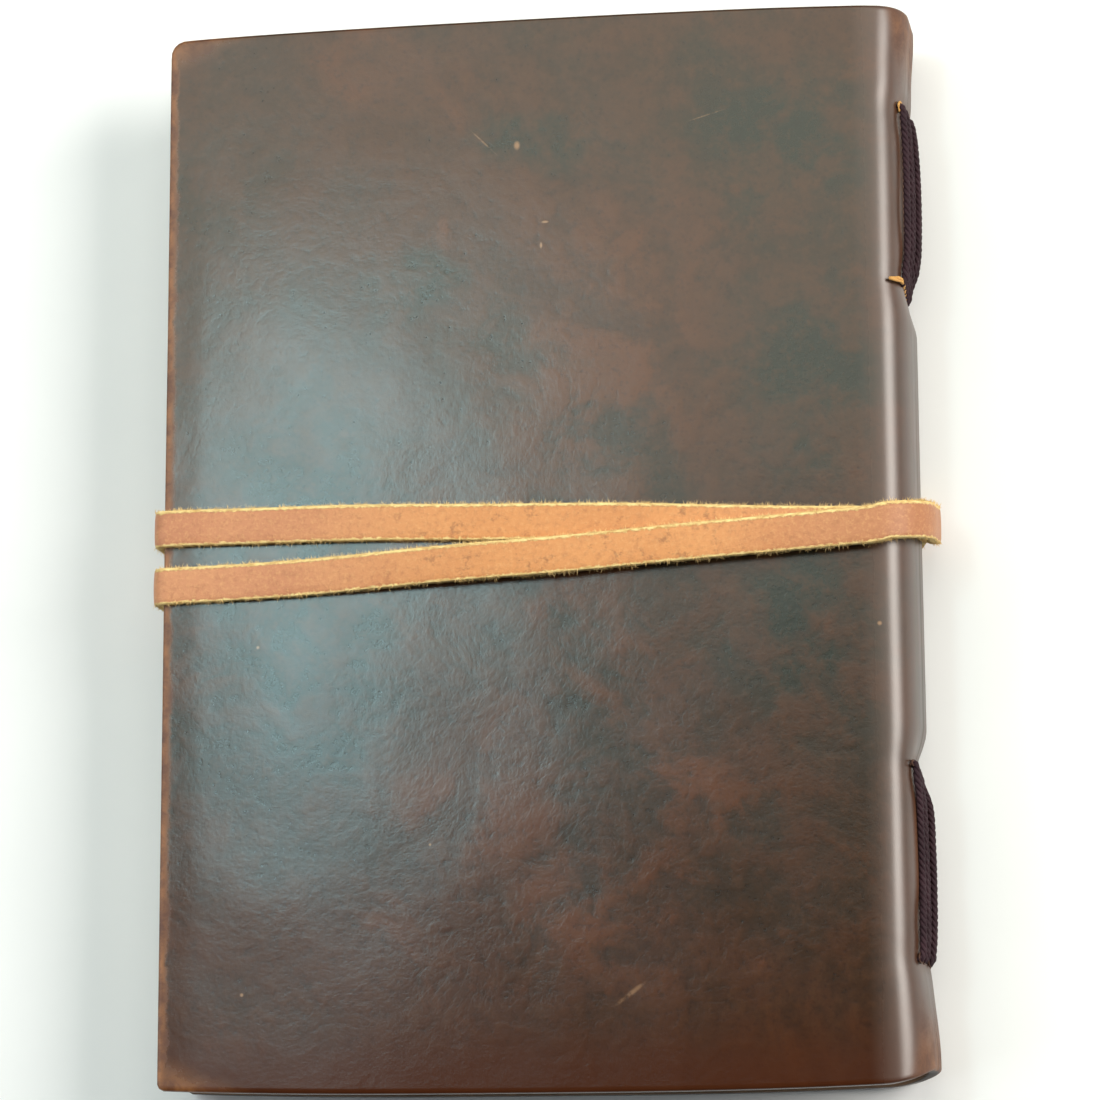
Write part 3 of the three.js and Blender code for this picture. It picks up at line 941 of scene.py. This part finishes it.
def strap_finish():
    """Tan grain, specked on top, with painted light along its length: a brighter orange middle as a painted
    highlight, painted shade towards the spine's end and a painted pinkish sheen towards the fore-edge's
    end. Pale raw fibre on the edges and the flesh side.
    """
    material, shader, flow = begin_finish("tan_strap")
    place = flow.make("ShaderNodeUVMap", {"uv_map": "laid"})
    depth = flow.make("ShaderNodeAttribute", {"attribute_name": "depth"}, output=2)
    side = flow.make("ShaderNodeAttribute", {"attribute_name": "side"}, output=2)
    broad = place.clouds(0.034, 4, 0.55, 0.3).between(0.36, 0.66)
    colour = broad.tint((0.430, 0.165, 0.066), (0.560, 0.250, 0.100))
    across = flow.make("ShaderNodeSeparateXYZ", {}, {0: flow.make("ShaderNodeTexCoord", {}, output=3)})
    # Painted light along the strap by its X: a brighter orange middle as a painted highlight, then painted
    # shade and a painted sheen at the two ends.
    rubbed_and_lit = across.between(-0.045, -0.005) * (1 - across.between(0.020, 0.050))
    colour = (rubbed_and_lit * 0.6).tint(colour, (0.620, 0.260, 0.070))
    # Painted shade, darkening the end towards the spine.
    colour = (across.between(0.035, 0.062) * 0.6).tint(colour, (0.330, 0.125, 0.055))
    # Painted pinkish sheen on the end towards the fore-edge.
    colour = (across.between(-0.020, -0.055) * 0.5).tint(colour, (0.480, 0.200, 0.105))
    specks = place.clouds(0.0030, 6, 0.75).between(0.54, 0.66)
    colour = (specks * (rubbed_and_lit * 0.45 + 0.12)).tint(colour, (0.150, 0.050, 0.018))
    creases = place.clouds(0.0013, 5, 0.7, 0.2)
    colour = (creases.between(0.46, 0.70) * 0.35).tint(colour, (0.260, 0.085, 0.030))
    grain = place.clouds(0.0008, 5, 0.72, 0.2)
    colour = (grain.between(0.46, 0.70) * 0.34).tint(colour, (0.700, 0.400, 0.165))
    fibres = place.clouds(0.0006, 5, 0.75, 0.5, (0.35, 1, 1))
    raw = fibres.between(0.25, 0.65).tint((0.46, 0.24, 0.06), (0.86, 0.68, 0.30))
    away = side.math("ABSOLUTE", side) + side.between(-0.1, 0.1) * 0.036
    rim = (away + (grain - 0.5) * 0.24).between(0.425, 0.475)
    under = depth.between(0.06, 0.16)
    colour = rim.math("MAXIMUM", rim, under).tint(colour, raw)
    roughness = 0.42 + grain * 0.2 + rim * 0.25 + under * 0.15
    height = grain * 0.8 + creases * 0.9 + fibres * rim * 2.0
    end_finish(material, shader, colour, roughness, height, 0.08 * MM)
    return material


strap, frames, lengths = wind_strap()
strap.data.materials.append(strap_finish())
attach(strap, "strap")
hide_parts(*[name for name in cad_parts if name.startswith("strap_")])

fibres = fray_strap(frames, lengths)
material, shader, flow = begin_finish("raw_fibres")
place = flow.make("ShaderNodeTexCoord", {}, output=3)
mixed = place.clouds(0.004, 4, 0.7)
pale = mixed.tint((0.62, 0.36, 0.10), (0.86, 0.68, 0.34))
end_finish(material, shader, pale, 0.75 + mixed * 0.1, mixed, 0.01 * MM)
fibres.data.materials.append(material)
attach(fibres, "strap")

# ---------------------------------------------------------------------------
# The table: a broad, smooth, pale surface that the notebook lies on. It is painted
# board, with the faintest clouding in its colour.
# ---------------------------------------------------------------------------
table_mesh = bmesh.new()
bmesh.ops.create_grid(table_mesh, x_segments=4, y_segments=4, size=2.0)
table = make_piece(table_mesh, "table")
material, shader, flow = begin_finish("pale_table")
place = flow.make("ShaderNodeTexCoord", {}, output=3)
mist = place.clouds(0.02, 3)
paint = mist.tint((0.80, 0.82, 0.83), (0.84, 0.86, 0.87))
end_finish(material, shader, paint, 0.75 + mist * 0.1, mist, 0.01 * MM)
table.data.materials.append(material)


# ---------------------------------------------------------------------------
# Light: a small cool window over the fore-edge and its sill, a broad softbox beyond
# the head with a cooler edge, a strong window on the spine's side, a fill and a pale room.
# ---------------------------------------------------------------------------
def soft_light(name, place, aim, size, power, colour):
    """A rectangular lamp at a place, turned to its aim."""
    light = bpy.data.lights.new(name, "AREA")
    light.shape = "RECTANGLE"
    light.size, light.size_y = size
    light.energy = power
    light.color = colour
    lamp = bpy.data.objects.new(name, light)
    lamp.location = place
    lamp.rotation_euler = (Vector(aim) - Vector(place)).to_track_quat("-Z", "Y").to_euler()
    bpy.context.scene.collection.objects.link(lamp)


soft_light("window", (-0.272, 0.186, 1.09), (-0.272, 0.186, 0), (0.12, 0.27), 1.22, (0.57, 0.93, 1.0))
soft_light(
    "window_sill", (-0.318, -0.010, 1.08), (-0.318, -0.010, 0), (0.14, 0.18), 0.14, (0.98, 1.0, 0.98)
)
soft_light("head_softbox", (-0.10, 0.76, 1.12), (-0.10, 0.76, 0), (1.20, 1.10), 6.2, (1.0, 0.92, 0.72))
soft_light(
    "head_softbox_edge", (-0.10, 0.665, 1.13), (-0.10, 0.665, 0), (1.20, 1.14), 4.8, (0.92, 1.0, 0.95)
)
soft_light("spine_window", (0.98, 0.21, 0.86), (0.06, 0.02, 0.02), (0.60, 0.66), 19.0, (1.0, 0.95, 0.88))
soft_light("fore_edge_fill", (-1.00, 0.10, 0.85), (0, 0, 0), (1.20, 0.80), 8.0, (0.97, 0.99, 1.0))
world = bpy.data.worlds.new("room")
world.use_nodes = True
world.node_tree.nodes["Background"].inputs["Color"].default_value = (0.80, 0.95, 1.0, 1)
world.node_tree.nodes["Background"].inputs["Strength"].default_value = 0.06
bpy.context.scene.world = world
bpy.context.scene.view_settings.view_transform = "Standard"

# ---------------------------------------------------------------------------
# The camera: above the notebook, a little to the spine's side and towards the tail,
# turned so that the notebook's head is up.
# ---------------------------------------------------------------------------
AZIMUTH, ELEVATION, ROLL = math.radians(-51.5), math.radians(76.8), math.radians(-0.333)
DISTANCE = 600 * MM
VIEW_WIDTH = 1100 / 5.858 * MM  # how much the view spans at the aim
aim = Vector((-2.5 * MM, 2.3 * MM, top_z - 22 * MM))
outward = Vector(
    (math.cos(ELEVATION) * math.cos(AZIMUTH), math.cos(ELEVATION) * math.sin(AZIMUTH), math.sin(ELEVATION))
)
right = Vector((0, 1, 0)).cross(outward).normalized()
upward = outward.cross(right)
lens = bpy.data.cameras.new("camera")
lens.sensor_width = 36
lens.lens = lens.sensor_width * DISTANCE / VIEW_WIDTH
camera = bpy.data.objects.new("camera", lens)
turned = Matrix((right, upward, outward)).transposed() @ Matrix.Rotation(ROLL, 3, "Z")
camera.matrix_world = Matrix.Translation(aim + outward * DISTANCE) @ turned.to_4x4()
bpy.context.scene.collection.objects.link(camera)
bpy.context.scene.camera = camera
